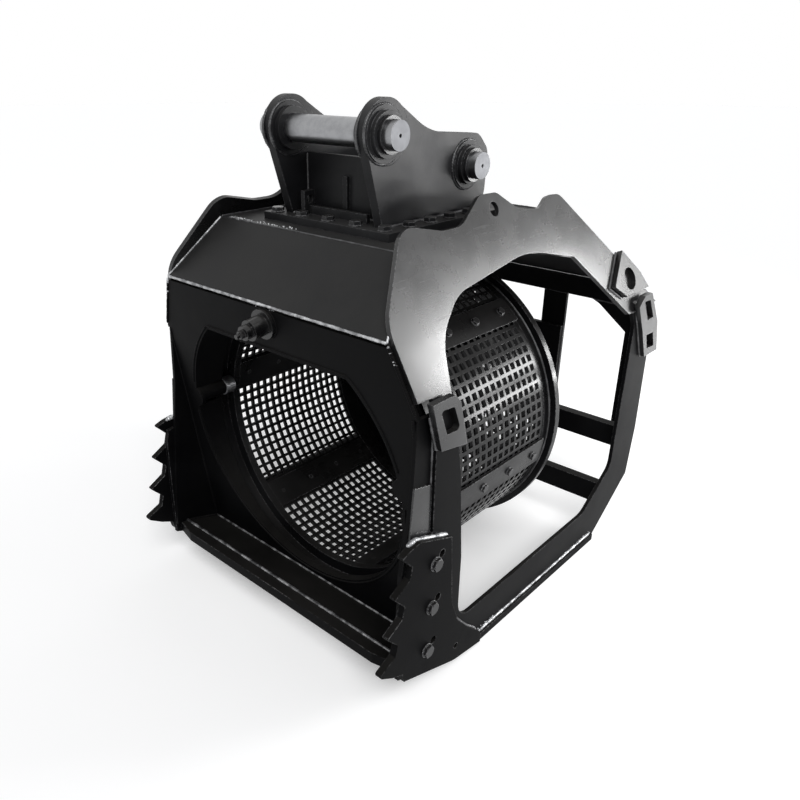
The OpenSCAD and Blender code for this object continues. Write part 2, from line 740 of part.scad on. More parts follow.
// Hanger: a bolted flange with two ears and two pins
flange_z = roof_z + flange_t;
rear_pin_y = mouth_y + 674;
front_pin_y = rear_pin_y - pin_run;
front_pin_z = rear_pin_z + pin_rise;
flange_y0 = front_pin_y - 40;
flange_y1 = rear_pin_y + 100;
ear_x0 = ear_gap / 2 + boss_t;
ear_x1 = ear_x0 + ear_t;
flange_bolt_r = 12;
function flange_bolt_spots() = concat(
  [for (x = [-224, -112, 0, 112, 224]) [x, flange_y0 + 26]],
  [for (x = [-224, -112, 0, 112, 224]) [x, flange_y1 - 26]],
  [for (k = [1:4], s = [-1, 1])
    [s * 234, flange_y0 + 26 + k * (flange_y1 - flange_y0 - 52) / 5]]);
module hanger_flange() {
  color(dark) difference() {
    translate([-flange_half, flange_y0, roof_z])
      cube([2 * flange_half, flange_y1 - flange_y0, flange_t]);
    for (p = flange_bolt_spots())
      translate([p[0], p[1], roof_z - 1]) cylinder(r = flange_bolt_r, h = flange_t + 2, $fn = 32);
  }
}
module flange_bolts() {
  color(bolt_grey) for (p = flange_bolt_spots()) translate([p[0], p[1], roof_z]) {
    cylinder(r = flange_bolt_r, h = flange_t, $fn = 32);
    translate([0, 0, flange_t]) hex(34, 15);
  }
}
front_eye_r = 88;
module ear_profile() {
  fy = front_pin_y + 14;
  fz = front_pin_z + 5;
  ry = rear_pin_y;
  rz = rear_pin_z;
  translate([fy, fz]) circle(r = front_eye_r, $fn = 96);
  polygon(outline([[fy - 12, flange_z, 0], [fy - 81, fz - 34, 0], [fy, fz, 0], [fy + 55, fz + 68, 0],
    [fy + 185, fz - 8, 260], [ry + 58, rz + 88, 60], [ry + 113, rz + 36, 44],
    [ry + 108, rz - 90, 90], [ry + 88, flange_z, 0]], 8));
}
module ear() {
  difference() {
    plate_x(ear_x0, ear_t) ear_profile();
    rod_x(front_pin_y, front_pin_z, 0, half_w, pin_r);
    rod_x(rear_pin_y, rear_pin_z, 0, half_w, pin_r);
  }
}
module ear_right() { color(dark) ear(); }
module ear_left() { color(dark) mirror([1, 0, 0]) ear(); }
// Stepped boss rings on both faces of each ear
front_boss_r = 76;
rear_boss_r = 72;
module boss_ring(y, z, r) {
  difference() {
    union() {
      rod_x(y, z, ear_x1, ear_x1 + 8, r);
      rod_x(y, z, ear_x1 + 8, ear_x1 + boss_t, r - 14);
    }
    rod_x(y, z, 0, half_w, pin_r);
  }
  difference() {
    union() {
      rod_x(y, z, ear_x0 - 8, ear_x0, r);
      rod_x(y, z, ear_x0 - boss_t, ear_x0 - 8, r - 14);
    }
    rod_x(y, z, 0, half_w, pin_r);
  }
}
module ear_bosses() {
  color(dark) both_sides() {
    boss_ring(front_pin_y, front_pin_z, front_boss_r);
    boss_ring(rear_pin_y, rear_pin_z, rear_boss_r);
  }
}
// Cross web between the ears, with a small stiffener
web_y = front_pin_y + 70;
module ear_web() {
  top = front_pin_z - 74;
  color(black) union() {
    translate([-ear_x0, web_y, flange_z]) cube([2 * ear_x0, 18, top - flange_z]);
    translate([-9, web_y - 12, flange_z]) cube([18, 12, 120]);
  }
}
module ear_tie() {
  color(dark) union() {
    translate([-120, web_y - 46, flange_z]) cube([2 * 120, 14, 26]);
    difference() {
      translate([-140, web_y - 62, flange_z]) cube([16, 44, 70]);
      rod_x(web_y - 40, flange_z + 44, -141, -123, 13);
    }
  }
}
pin_end = 38;
module pin(y, z) {
  difference() {
    rod_x(y, z, -ear_x1 - boss_t - pin_end, ear_x1 + boss_t + pin_end, pin_r);
    for (s = [-1, 1]) translate([s * (ear_x1 + boss_t + pin_end), y, z])
      rotate([0, 90, 0]) cylinder(r = 5, h = 24, center = true, $fn = 32);
  }
}
module front_pin() { color(steel) pin(front_pin_y, front_pin_z); }
module rear_pin() { color(steel) pin(rear_pin_y, rear_pin_z); }
// Keeper collars on the pins' outer ends
module pin_keepers() {
  color(bolt_grey) both_sides() for (p = [[front_pin_y, front_pin_z], [rear_pin_y, rear_pin_z]])
    difference() {
      rod_x(p[0], p[1], ear_x1 + boss_t, ear_x1 + boss_t + 12, pin_r + 10);
      rod_x(p[0], p[1], 0, half_w, pin_r);
    }
}
module grease_nipple() {
  color(steel) translate([-ear_x1 - boss_t - pin_end, front_pin_y, front_pin_z + 22])
    rotate([0, -90, 0]) {
      hex(16, 10);
      cylinder(r = 5, h = 20, $fn = 32);
      translate([0, 0, 24]) sphere(r = 8, $fn = 32);
    }
}

side_frame_right();
side_frame_left();
side_wall_right();
side_wall_left();
throat_liners();
front_pads();
corner_pads();
hood_panel();
roof_plate();
rear_roof();
front_bulkhead();
mouth_ring();
lip_plate();
belly_plate();
cutting_edge();
side_cutter_right();
side_cutter_left();
cutter_bolts();
skid_strips();
rear_top_beam();
rear_gussets();
upper_cross_beam();
lower_cross_beam();
motor_posts();
motor_plate();
bearing_housing();
shaft_bearings();
drive_motor();
motor_fittings();
roller_bosses();
roller_axles();
axle_caps();
hanger_flange();
flange_bolts();
ear_right();
ear_left();
ear_bosses();
ear_web();
ear_tie();
front_pin();
rear_pin();
pin_keepers();
grease_nipple();
drum_front_ring();
drum_rear_ring();
drum_back();
drum_hub();
drum_bars();
screen_panel_1();
screen_panel_2();
screen_panel_3();
screen_panel_4();
screen_panel_5();
screen_panel_6();
panel_strips();
strip_bolts();
guide_roller_1();
guide_roller_2();
guide_roller_3();
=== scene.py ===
"""Looks of a screening bucket: enamelled plate, weld beads, bolt heads and a plain studio."""
import math

import bpy
import numpy as np
from mathutils import Matrix


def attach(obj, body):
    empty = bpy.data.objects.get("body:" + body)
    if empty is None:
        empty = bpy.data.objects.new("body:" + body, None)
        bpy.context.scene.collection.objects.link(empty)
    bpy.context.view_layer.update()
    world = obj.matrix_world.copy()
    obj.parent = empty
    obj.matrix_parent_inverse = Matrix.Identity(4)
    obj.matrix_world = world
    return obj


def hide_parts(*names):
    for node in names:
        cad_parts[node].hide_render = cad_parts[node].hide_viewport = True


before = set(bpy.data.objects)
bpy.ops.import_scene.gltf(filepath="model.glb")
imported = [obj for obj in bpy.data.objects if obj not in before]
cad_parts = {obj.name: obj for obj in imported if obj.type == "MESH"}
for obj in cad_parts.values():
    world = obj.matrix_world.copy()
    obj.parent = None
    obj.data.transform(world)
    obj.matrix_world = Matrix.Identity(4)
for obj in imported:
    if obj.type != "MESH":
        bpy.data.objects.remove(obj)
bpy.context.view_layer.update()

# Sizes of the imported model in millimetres, which pieces and patterns are placed by
MM = 0.001
WALL_HALF = 564.0        # half width over the lower side frames
BEND = 935.0             # height where the walls start to lean
LEAN = math.radians(22.5)
WALL_T = 14.0
MOUTH_Y, HOOD_Z = -670.0, 1123.0
FOLD_Y, ROOF_Z = -494.0, 1300.0
KNEE_Y, SLOPE_END, SLOPE = 330.0, 650.0, math.radians(40.3)
BULK = math.radians(8.4)
LIP_Y, LIP_Z = -659.0, 150.0
POST_Y = 787.0
EYE_Y = -105.0
DRUM_Z, MOUTH_R = 614.0, 484.0
FLANGE_Z = 1324.0
EAR_IN, EAR_OUT = 172.0, 202.0
FRONT_PIN = (-386.0, 1575.0)
REAR_PIN = (4.0, 1466.0)
CHORD_Z = 984.0          # straight top edge of the mouth
TRACK_R, TOP_ROLLER_R, ROLL_GAP = 518.0, 64.0, 0.3
ROLLER_Z = DRUM_Z + TRACK_R - TOP_ROLLER_R - ROLL_GAP
LINER = 538.0            # inner face of the throat liners, from the middle
LIP_END = 548.0          # half length of the beads along the lip
POST_FACE = 549.7        # inner face of the rear posts, from the middle
CUTTER_FACE = 586.0      # outer face of the side cutters, from the middle
STRIP_R = 506.0          # outer radius of the strips between the screen panels
STRIP_PITCH = 145.3      # distance between two bolts of a strip
STRIP_LAST_Y = 71.0
FLANGE_FRONT, FLANGE_REAR = -426.0, 104.0
BOLT_INSET = 26.0        # bolts of the hanger flange, from its front and rear edges


def colour(code, alpha=1.0):
    """An sRGB hex colour as linear red, green, blue and alpha."""
    part = np.array([int(code[k:k + 2], 16) for k in (1, 3, 5)]) / 255.0
    line = np.where(part <= 0.04045, part / 12.92, ((part + 0.055) / 1.055) ** 2.4)
    return (*line.tolist(), alpha)


def add(tree, kind, settings=None, links=None):
    """Adds one node, gives it its settings and sockets' values, and links sockets to it."""
    made = tree.nodes.new(kind)
    for key, value in (settings or {}).items():
        if isinstance(key, str) and hasattr(made, key):
            setattr(made, key, value)
        else:
            made.inputs[key].default_value = value
    for key, source in (links or {}).items():
        tree.links.new(source, made.inputs[key])
    return made


def per_mm(size):
    """Texture scale at which one cell is this many millimetres in Object coordinates."""
    return 1.0 / (size * MM)


def start(name):
    """A new material with its tree emptied, and its Object coordinates."""
    made = bpy.data.materials.new(name)
    made.use_nodes = True
    tree = made.node_tree
    tree.nodes.clear()
    place = add(tree, "ShaderNodeTexCoord").outputs["Object"]
    return made, tree, place


def finish_off(tree, shader):
    """Ends a tree with this shader on the material's surface."""
    add(tree, "ShaderNodeOutputMaterial", {}, {"Surface": shader.outputs[0]})


def enamel(name, deep, film, rough, gloss, coat=0.0, peel=0.10, wave=0.5, edge=0.5,
           edge_code="#8c8c8e", upface_pale=0.06, round_mm=2.0, painted_sheen=0.0):
    """Black enamel sprayed on plate: a cloudy film, orange peel, slow waves and rubbed edges.

    The last argument is how much painted sheen lies on the film: a pale colour that stands in for
    light reflected from the room, in clouds 300 mm across with a mottle of 25 mm in them.
    """
    made, tree, place = start(name)
    cloud = add(tree, "ShaderNodeTexNoise", {"Scale": per_mm(260), "Detail": 5.0,
                "Roughness": 0.62}, {"Vector": place})
    # Real orange peel is about 1 mm across; 7 mm is the finest that shows from here
    grain = add(tree, "ShaderNodeTexNoise", {"Scale": per_mm(7), "Detail": 3.0}, {"Vector": place})
    ripple = add(tree, "ShaderNodeTexNoise", {"Scale": per_mm(150), "Detail": 1.5},
                 {"Vector": place})
    # Rubbing marks: noise drawn out along one way, 4 mm by 160 mm
    pull = add(tree, "ShaderNodeMapping", {"Scale": (per_mm(4), per_mm(160), per_mm(160)),
               "Rotation": (0.3, 0.5, 0.9)}, {"Vector": place})
    scuff = add(tree, "ShaderNodeTexNoise", {"Scale": 1.0, "Detail": 4.0, "Roughness": 0.7},
                {"Vector": pull.outputs[0]})
    scuff_mask = add(tree, "ShaderNodeMapRange", {"From Min": 0.60, "From Max": 0.78},
                     {"Value": scuff.outputs["Fac"]})

    # Edges: where the rounded normal leaves the face's own, the film is thin and polished
    soft = add(tree, "ShaderNodeBevel", {"samples": 6, "Radius": round_mm * MM})
    wide = add(tree, "ShaderNodeBevel", {"samples": 4, "Radius": 2.2 * round_mm * MM})
    true = add(tree, "ShaderNodeNewGeometry").outputs["True Normal"]
    turn = add(tree, "ShaderNodeVectorMath", {"operation": "DOT_PRODUCT"},
               {0: wide.outputs[0], 1: true})
    near = add(tree, "ShaderNodeMapRange", {"From Min": 0.995, "From Max": 0.90},
               {"Value": turn.outputs["Value"]})
    broken = add(tree, "ShaderNodeMapRange", {"From Min": 0.40, "From Max": 0.62},
                 {"Value": grain.outputs["Fac"]})
    patch = add(tree, "ShaderNodeMapRange", {"From Min": 0.35, "From Max": 0.65},
                {"Value": ripple.outputs["Fac"]})
    rub = add(tree, "ShaderNodeMath", {"operation": "MULTIPLY"},
              {0: near.outputs[0], 1: broken.outputs[0]})
    rub = add(tree, "ShaderNodeMath", {"operation": "MULTIPLY"},
              {0: rub.outputs[0], 1: patch.outputs[0]})
    worn = add(tree, "ShaderNodeMath", {"operation": "MULTIPLY", 1: edge}, {0: rub.outputs[0]})

    tone = add(tree, "ShaderNodeMapRange", {"From Min": 0.32, "From Max": 0.70},
               {"Value": cloud.outputs["Fac"]})
    base = add(tree, "ShaderNodeMix", {"data_type": "RGBA", 6: colour(deep), 7: colour(film)},
               {0: tone.outputs[0]})
    # Painted sheen: pale clouds of colour mixed into the film, standing in for the room's light
    # reflected off it
    if painted_sheen:
        drift = add(tree, "ShaderNodeTexNoise", {"Scale": per_mm(300), "Detail": 1.0},
                    {"Vector": place})
        mottle = add(tree, "ShaderNodeTexNoise", {"Scale": per_mm(25), "Detail": 6.0,
                     "Roughness": 0.75}, {"Vector": place})
        drift = add(tree, "ShaderNodeMapRange", {"From Min": 0.38, "From Max": 0.68},
                    {"Value": drift.outputs["Fac"]})
        mottle = add(tree, "ShaderNodeMapRange", {"From Min": 0.30, "From Max": 0.70,
                     "To Min": 0.45 * painted_sheen, "To Max": painted_sheen}, {"Value": mottle.outputs["Fac"]})
        painted_sheen_mask = add(tree, "ShaderNodeMath", {"operation": "MULTIPLY"},
                   {0: drift.outputs[0], 1: mottle.outputs[0]})
        base = add(tree, "ShaderNodeMix", {"data_type": "RGBA", 7: colour("#a9aaac")},
                   {0: painted_sheen_mask.outputs[0], 6: base.outputs[2]})
    # A warm pale grey is mixed in on faces that look up, in clouds
    facing = add(tree, "ShaderNodeSeparateXYZ", {}, {0: true})
    upface = add(tree, "ShaderNodeMapRange", {"From Min": 0.2, "From Max": 1.0, "To Max": upface_pale},
                {"Value": facing.outputs["Z"]})
    upface_patches = add(tree, "ShaderNodeMath", {"operation": "MULTIPLY"},
                  {0: upface.outputs[0], 1: cloud.outputs["Fac"]})
    base = add(tree, "ShaderNodeMix", {"data_type": "RGBA", 7: colour("#8f8b84")},
               {0: upface_patches.outputs[0], 6: base.outputs[2]})
    base = add(tree, "ShaderNodeMix", {"data_type": "RGBA", 7: colour(edge_code)},
               {0: worn.outputs[0], 6: base.outputs[2]})

    matt = add(tree, "ShaderNodeMapRange", {"From Min": 0.3, "From Max": 0.7,
               "To Min": rough - 0.06, "To Max": rough + 0.08}, {"Value": cloud.outputs["Fac"]})
    matt = add(tree, "ShaderNodeMath", {"operation": "MULTIPLY_ADD", 1: 0.10},
               {0: scuff_mask.outputs[0], 2: matt.outputs[0]})
    low = add(tree, "ShaderNodeBump", {"Strength": wave, "Distance": 2.4 * MM},
              {"Height": ripple.outputs["Fac"], "Normal": soft.outputs[0]})
    fine = add(tree, "ShaderNodeBump", {"Strength": peel, "Distance": 0.5 * MM},
               {"Height": grain.outputs["Fac"], "Normal": low.outputs[0]})
    shader = add(tree, "ShaderNodeBsdfPrincipled", {"Specular IOR Level": gloss,
                 "Coat Weight": coat, "Coat Roughness": 0.12},
                 {"Base Color": base.outputs[2], "Roughness": matt.outputs[0],
                  "Normal": fine.outputs[0]})
    finish_off(tree, shader)
    return made


def weld_metal(name, deep, bright, gloss, shine):
    """Weld metal in dark and lighter patches: the lighter colour is partly clean metal and partly
    a painted glint for light caught by the ripples.
    """
    made, tree, place = start(name)
    # Spatter and slag grains are 2 to 3 mm
    slag = add(tree, "ShaderNodeTexNoise", {"Scale": per_mm(3), "Detail": 4.0,
               "Roughness": 0.7}, {"Vector": place})
    heat = add(tree, "ShaderNodeTexNoise", {"Scale": per_mm(28), "Detail": 2.0},
               {"Vector": place})
    # Lighter patches: clean metal and painted glint together
    bare = add(tree, "ShaderNodeMapRange", {"From Min": 0.42, "From Max": 0.66},
               {"Value": heat.outputs["Fac"]})
    base = add(tree, "ShaderNodeMix", {"data_type": "RGBA", 6: colour(deep), 7: colour(bright)},
               {0: bare.outputs[0]})
    rise = add(tree, "ShaderNodeBump", {"Strength": 0.5, "Distance": 0.8 * MM},
               {"Height": slag.outputs["Fac"]})
    shader = add(tree, "ShaderNodeBsdfPrincipled", {"Metallic": shine, "Roughness": 0.34,
                 "Specular IOR Level": gloss}, {"Base Color": base.outputs[2],
                 "Normal": rise.outputs[0]})
    finish_off(tree, shader)
    return made


def turned_steel(name, code, dark, end_shade_code, rough, ring_mm, axis):
    """Steel turned on a lathe: feed rings along the axis, smears of dried grease."""
    made, tree, place = start(name)
    # A feed of 0.3 mm is far below a pixel; the rings are drawn at the given pitch
    rings = add(tree, "ShaderNodeTexWave", {"wave_type": "BANDS", "bands_direction": axis,
                "Scale": per_mm(ring_mm) / 6.283 * 3.1, "Distortion": 0.4, "Detail": 2.0},
                {"Vector": place})
    smear = add(tree, "ShaderNodeTexNoise", {"Scale": per_mm(38), "Detail": 5.0,
                "Roughness": 0.65}, {"Vector": place})
    dull = add(tree, "ShaderNodeMapRange", {"From Min": 0.42, "From Max": 0.80, "To Max": 0.5},
               {"Value": smear.outputs["Fac"]})
    base = add(tree, "ShaderNodeMix", {"data_type": "RGBA", 6: colour(code), 7: colour(dark)},
               {0: dull.outputs[0]})
    # End faces are rougher than the barrel, and their colour is painted greyer as painted shade
    facing = add(tree, "ShaderNodeSeparateXYZ", {},
                 {0: add(tree, "ShaderNodeNewGeometry").outputs["True Normal"]})
    ends = add(tree, "ShaderNodeMath", {"operation": "ABSOLUTE"}, {0: facing.outputs[axis]})
    ends = add(tree, "ShaderNodeMapRange", {"From Min": 0.90, "From Max": 0.98, "To Max": 0.75},
               {"Value": ends.outputs[0]})
    base = add(tree, "ShaderNodeMix", {"data_type": "RGBA", 7: colour(end_shade_code)},
               {0: ends.outputs[0], 6: base.outputs[2]})
    matt = add(tree, "ShaderNodeMapRange", {"To Min": rough, "To Max": rough + 0.10},
               {"Value": smear.outputs["Fac"]})
    matt = add(tree, "ShaderNodeMath", {"operation": "MULTIPLY_ADD", 1: 0.40},
               {0: ends.outputs[0], 2: matt.outputs[0]})
    soft = add(tree, "ShaderNodeBevel", {"samples": 6, "Radius": 1.6 * MM})
    rise = add(tree, "ShaderNodeBump", {"Strength": 0.22, "Distance": 0.3 * MM},
               {"Height": rings.outputs["Fac"], "Normal": soft.outputs[0]})
    shader = add(tree, "ShaderNodeBsdfPrincipled", {"Metallic": 1.0, "Anisotropic": 0.25},
                 {"Base Color": base.outputs[2], "Roughness": matt.outputs[0],
                  "Normal": rise.outputs[0]})
    finish_off(tree, shader)
    return made


# The main finish: satin black enamel on rolled plate. It gives the eye a broad soft sheen
satin_enamel = enamel("satin_enamel_plate", "#080809", "#121213", 0.40, 0.035, wave=0.35)
# Hood and roof are rolled sheet under a flat, even coat with little gloss; their colour is painted
# charcoal, lighter than the other plate, as a painted sheen that stays the same in any light
flat_enamel = enamel("flat_enamel_sheet_painted_sheen", "#1c1c1d", "#262626", 0.50, 0.16, wave=0.25, edge=0.6,
                     upface_pale=0.03)
# The two big side crescents carry a thicker, smoother coat with more gloss, and pale clouds
# painted into their colour as a painted sheen
crescent_enamel = enamel("smooth_enamel_crescent", "#0a0a0b", "#141415", 0.26, 0.36, coat=0.14,
                         peel=0.02, wave=0.22, edge=0.7, painted_sheen=0.08)
# Inside the throat the coat is dry, with little gloss, so it shows little of the room; its colour
# and edges are painted darker than on the other plate, as painted shade in the recess
shaded_throat_enamel = enamel("dry_enamel_throat_painted_shade", "#050506", "#0b0b0c", 0.50, 0.05, wave=0.4,
                       edge=0.03)
# The hanger is of thick plate, blasted before painting; a little painted sheen, pale clouds in its
# colour, stands in for light on it
hanger_enamel = enamel("satin_enamel_hanger", "#101011", "#1b1b1d", 0.42, 0.15, wave=0.25,
                       edge=0.6, painted_sheen=0.05)
# The screens are dipped in gloss enamel after punching: hard bright lights beside deep black
screen_enamel = enamel("gloss_enamel_screen", "#060607", "#0e0e10", 0.24, 0.14, coat=0.03,
                       wave=0.8, edge=0.5, round_mm=1.2)
# Rings, bars and strips of the drum are rolled flat steel in the same enamel, less glossy
inner_enamel = enamel("gloss_enamel_drum", "#09090a", "#131315", 0.28, 0.17, coat=0.04,
                      wave=0.5, edge=0.6)
# Wear plates are hard rolled steel with a rough skin under the paint
wear_enamel = enamel("rolled_wear_plate", "#070708", "#0e0e0f", 0.44, 0.025, peel=0.3, wave=0.6,
                     edge=0.7, edge_code="#9a9a9a")
# Bolts are painted in place, and a spanner has rubbed their corners bright
bolt_finish = enamel("painted_bolt_steel", "#0f0f10", "#202022", 0.30, 0.30, coat=0.08,
                     wave=0.2, edge=0.9, edge_code="#b4b4b6", round_mm=1.0)
# The stepped cap over the top roller is dipped in the same gloss enamel as the screens
cap_enamel = enamel("gloss_enamel_cap", "#060607", "#0f0f10", 0.24, 0.40, coat=0.15, wave=0.3,
                    edge=0.5)
# Painted beads are painted a tone lighter than the plate beside them, a painted sheen for the
# light their ripples catch
weld_paint = weld_metal("painted_weld_bead", "#1d1d1f", "#4a4a4c", 0.75, 0.15)
# Beads where the paint has worn through: broken grey lines, their grey also a painted glint
weld_rubbed_and_glint = weld_metal("rubbed_weld_bead_painted_glint", "#3a3a3c", "#9c9c9e", 0.8, 0.55)
# Beads ground or rubbed clean along the hood and on the cutters, painted nearly white as a painted
# glint
weld_painted_glint = weld_metal("clean_weld_bead_painted_glint", "#77787a", "#cfd0d2", 0.8, 0.45)
# Ground pins are the only bare bright metal in view, with a soft long highlight
pin_steel = turned_steel("ground_pin_steel", "#9c9d9f", "#59595d", "#5a5b5e", 0.25, 5.0, "X")
# Rollers, axles and the shaft's rings are turned steel, duller than the pins
shaft_steel = turned_steel("turned_shaft_steel", "#a9aaad", "#6d6d70", "#77787a", 0.30, 5.0, "Y")

FINISH = {
    satin_enamel: ["side_frame_right", "side_frame_left", "rear_top_beam", "rear_gussets",
                   "upper_cross_beam", "lower_cross_beam", "motor_posts", "motor_plate"],
    flat_enamel: ["hood_panel", "roof_plate", "rear_roof"],
    crescent_enamel: ["side_wall_right", "side_wall_left", "front_pads", "corner_pads"],
    shaded_throat_enamel: ["throat_liners", "front_bulkhead", "belly_plate", "mouth_ring",
                    "lip_plate", "roller_bosses"],
    hanger_enamel: ["hanger_flange", "ear_right", "ear_left", "ear_bosses", "ear_web",
                    "ear_tie"],
    screen_enamel: ["screen_panel_1", "screen_panel_2", "screen_panel_3", "screen_panel_4",
                    "screen_panel_5", "screen_panel_6", "drum_back"],
    inner_enamel: ["drum_front_ring", "drum_rear_ring", "drum_bars", "panel_strips",
                   "drum_hub", "bearing_housing", "drive_motor"],
    wear_enamel: ["cutting_edge", "side_cutter_right", "side_cutter_left", "skid_strips"],
    bolt_finish: ["cutter_bolts", "flange_bolts", "strip_bolts", "motor_fittings",
                  "pin_keepers"],
    cap_enamel: ["axle_caps"],
    pin_steel: ["front_pin", "rear_pin", "grease_nipple"],
    shaft_steel: ["roller_axles", "shaft_bearings", "guide_roller_1", "guide_roller_2",
                  "guide_roller_3"],
}
for finish, names in FINISH.items():
    for name in names:
        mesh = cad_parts[name].data
        mesh.materials.clear()
        mesh.materials.append(finish)


def line(a, b):
    """A straight path from a to b."""
    return np.array([a, b], float)


def both(paths):
    """Each path and its mirror image across the middle of the bucket."""
    return paths + [p * np.array([-1.0, 1.0, 1.0]) for p in paths]


def ring(centre, radius, axis, a0=0.0, a1=360.0, steps=96):
    """Points of a circle or arc round the X or Y axis, from angle a0 to a1."""
    t = np.radians(np.linspace(a0, a1, steps))
    flat = np.zeros_like(t)
    if axis == "X":
        made = np.stack([flat, radius * np.cos(t), radius * np.sin(t)], 1)
    else:
        made = np.stack([radius * np.cos(t), flat, radius * np.sin(t)], 1)
    return made + np.array(centre, float)


def arcs(points, steps=7):
    """An open path whose inner corners [a, b, radius] are rounded by circular arcs."""
    p = np.array([q[:2] for q in points], float)
    made = [p[:1]]
    for k in range(1, len(p) - 1):
        r = points[k][2]
        if r == 0:
            made.append(p[k:k + 1])
            continue
        u = (p[k - 1] - p[k]) / np.linalg.norm(p[k - 1] - p[k])
        v = (p[k + 1] - p[k]) / np.linalg.norm(p[k + 1] - p[k])
        half = 0.5 * math.acos(float(np.clip(u @ v, -1, 1)))
        centre = p[k] + (u + v) / np.linalg.norm(u + v) * r / math.sin(half)
        s, e = p[k] + u * r / math.tan(half) - centre, p[k] + v * r / math.tan(half) - centre
        t = np.linspace(0, 1, steps)[:, None]
        turn = math.pi - 2 * half
        mix = (np.sin((1 - t) * turn) * s + np.sin(t * turn) * e) / math.sin(turn)
        made.append(centre + mix)
    made.append(p[-1:])
    return np.concatenate(made)


def at_x(x, flat):
    """A path drawn in Y and Z, put on the plane at this X."""
    return np.column_stack([np.full(len(flat), float(x)), flat])


def on_wall(off, flat):
    """A path drawn in Y and distance up the leaning wall, off its outer face."""
    y, s = flat[:, 0], flat[:, 1]
    return np.column_stack([WALL_HALF + off * math.cos(LEAN) - s * math.sin(LEAN), y,
                            BEND + off * math.sin(LEAN) + s * math.cos(LEAN)])


def inner_half(z):
    """Half width between the leaning walls' inner faces at height z."""
    return WALL_HALF - (z - BEND) * math.tan(LEAN) - WALL_T / math.cos(LEAN)


def bulkhead_y(z):
    """Y of the bulkhead's front face at height z."""
    return MOUTH_Y + (HOOD_Z - z) * math.tan(BULK)


def tube(path, leg, pitch, seed, sides=10):
    """One bead: a round profile of radius leg carried along the path, in millimetres.

    Formula: the path is stepped evenly at a quarter of the ripple pitch. At station s and
    profile angle q the radius is leg * (1 + 0.10 ripple + wander), where ripple is the sine of
    2 pi s / pitch less a lag that grows to the toes, so that each ripple is a crescent, and
    wander is three slow sines. The radius falls to a third at open ends, which are capped.
    """
    closed = np.linalg.norm(path[0] - path[-1]) < 1e-6
    step = np.linalg.norm(np.diff(path, axis=0), axis=1)
    along = np.concatenate([[0], np.cumsum(step)])
    count = max(8, int(along[-1] / pitch * 4))
    s = np.linspace(0, along[-1], count, endpoint=not closed)
    mid = np.stack([np.interp(s, along, path[:, k]) for k in range(3)], 1)
    if closed:
        way = np.roll(mid, -1, 0) - np.roll(mid, 1, 0)
    else:
        way = np.gradient(mid, axis=0)
    way /= np.linalg.norm(way, axis=1, keepdims=True)
    # One fixed direction that is far from every tangent keeps the profile from twisting
    axes = np.eye(3)
    ref = axes[int(np.argmin(np.abs(way).max(0)))]
    side = np.cross(way, ref)
    side /= np.linalg.norm(side, axis=1, keepdims=True)
    top = np.cross(side, way)
    q = np.linspace(0, 2 * math.pi, sides, endpoint=False)[None, :]
    rng = np.random.default_rng(seed)
    w = rng.uniform(0, 6.28, 3)
    size = along[-1]
    turns = [max(1, round(size / g)) for g in (170.0, 61.0, 23.0)]
    wander = sum(a * np.sin(2 * math.pi * n * s / size + f)
                 for a, n, f in zip((0.07, 0.06, 0.06), turns, w))
    phase = 2 * math.pi * round(size / pitch) * s / size
    ripple = np.sin(phase[:, None] - 0.9 * (1 - np.cos(2 * q)))
    radius = leg * (1 + 0.10 * ripple + wander[:, None])
    if not closed:
        end = np.minimum(s, size - s) / (1.5 * leg)
        radius = radius * np.clip(0.35 + 0.65 * np.sqrt(np.clip(end, 0, 1)), 0, 1)[:, None]
    v = (mid[:, None, :] + radius[..., None] * (np.cos(q)[..., None] * side[:, None, :]
         + np.sin(q)[..., None] * top[:, None, :])).reshape(-1, 3)
    i, j = np.meshgrid(np.arange(count if closed else count - 1), np.arange(sides), indexing="ij")
    i, j = i.ravel(), j.ravel()
    i2, j2 = (i + 1) % count, (j + 1) % sides
    faces = np.stack([i * sides + j, i2 * sides + j, i2 * sides + j2, i * sides + j2], 1)
    caps = [] if closed else [list(range(sides)),
                              [(count - 1) * sides + k for k in range(sides)][::-1]]
    return v * MM, faces, caps


def solid_piece(name, parts, finish, body, smooth=True):
    """Joins parts (points, quads, caps) into one mesh object at the origin."""
    points, faces, shift = [], [], 0
    for v, quads, caps in parts:
        points.append(v)
        faces += (quads + shift).tolist() + [[k + shift for k in c] for c in caps]
        shift += len(v)
    mesh = bpy.data.meshes.new(name)
    mesh.from_pydata(np.concatenate(points).tolist(), [], faces)
    mesh.materials.append(finish)
    mesh.polygons.foreach_set("use_smooth", np.full(len(mesh.polygons), smooth))
    mesh.update()
    made = bpy.data.objects.new(name, mesh)
    bpy.context.scene.collection.objects.link(made)
    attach(made, body)
    return made


def beads(name, jobs, body="frame", finish=weld_paint):
    """One piece of several beads; a job is (paths, leg, pitch)."""
    parts, seed = [], sum(map(ord, name))
    for paths, leg, pitch in jobs:
        for path in paths:
            seed += 1
            parts.append(tube(path, leg, pitch, seed))
    return solid_piece(name, parts, finish, body)


